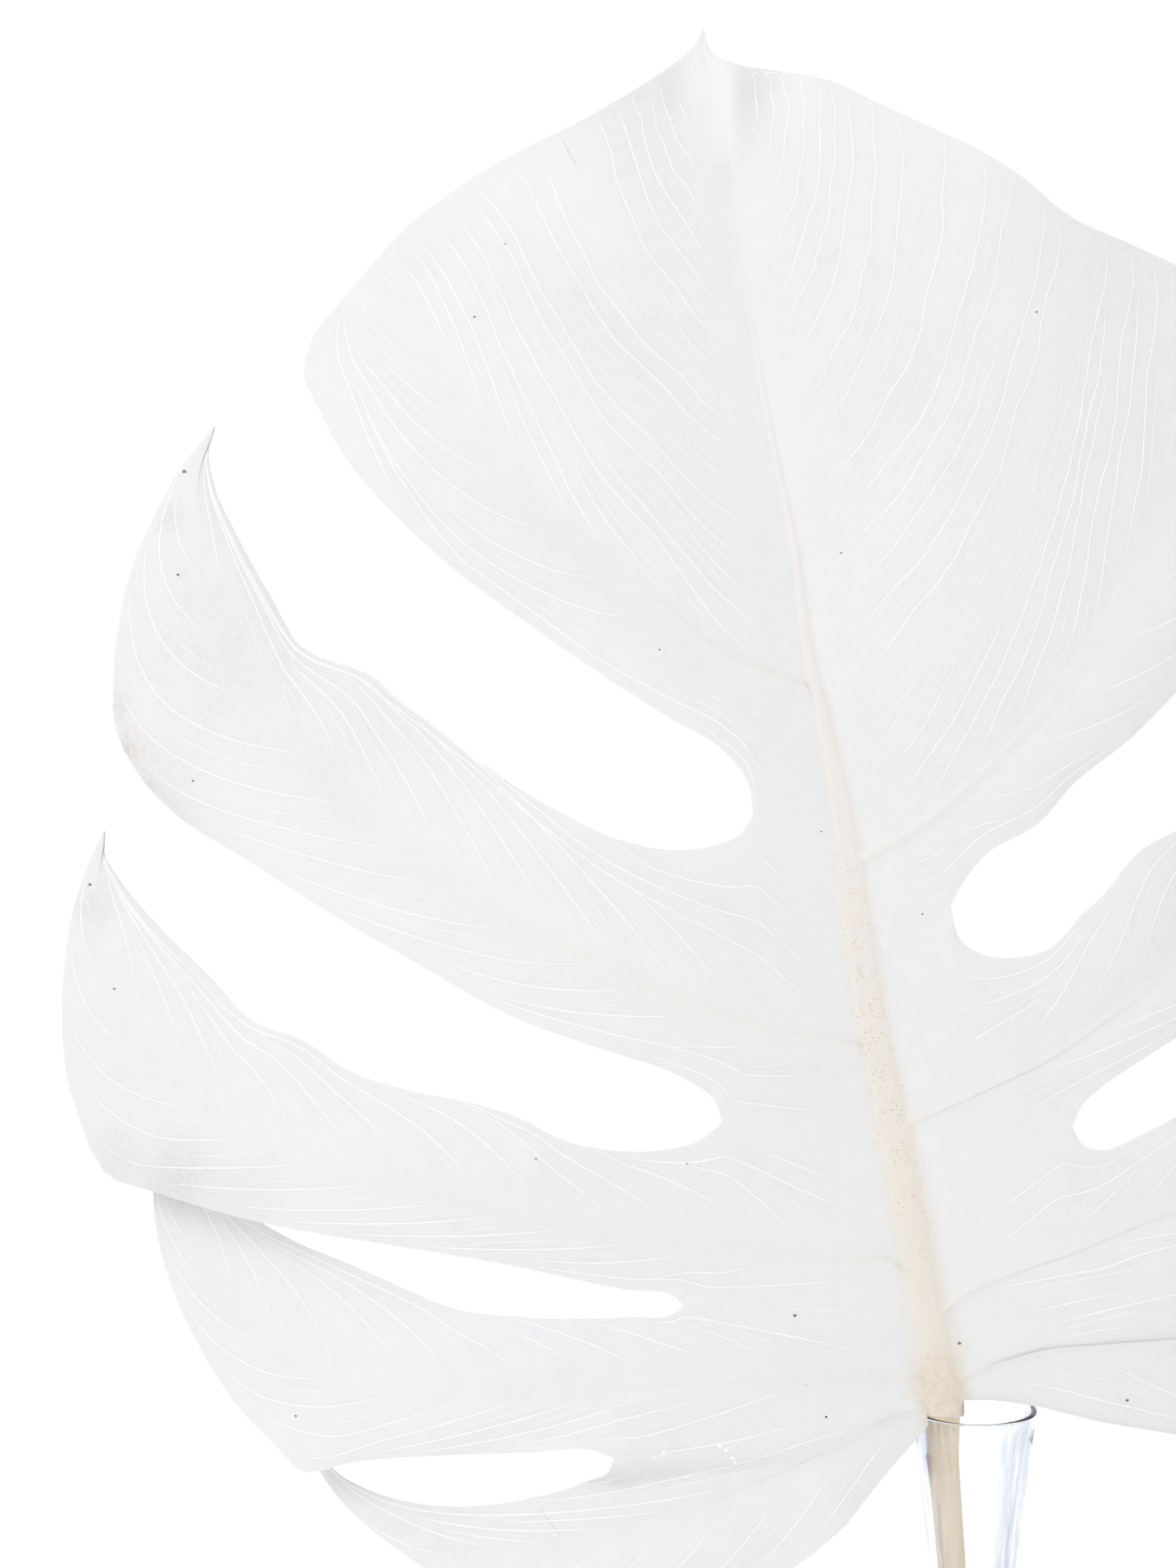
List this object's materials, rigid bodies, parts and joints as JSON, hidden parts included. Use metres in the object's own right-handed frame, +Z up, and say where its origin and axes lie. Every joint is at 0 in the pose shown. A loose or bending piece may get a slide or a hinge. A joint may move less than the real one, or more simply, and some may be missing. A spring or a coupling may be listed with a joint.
{
  "type": "dried monstera leaf in a bud vase",
  "caption": "Bleached, dried monstera leaf with deep cuts between its lobes and a raised midrib, standing by its stalk in a slim clear glass bud vase.",
  "frame": {"origin": "centre of the vase's flat base, on the surface that it stands on", "axes": "+Z up along the vase's axis, -Y towards the viewer and the leaf's upper face, +X to the viewer's right"},
  "size_m": [0.3546, 0.074, 0.516],
  "materials": {
    "bleached_leaf": "matt, papery, bleached nearly white, with cream ribs",
    "clear_glass": "clear, smooth, glossy blown glass"
  },
  "bodies": {
    "root": {"leaf": "bleached_leaf", "vase": "clear_glass"}
  },
  "joints": []
}
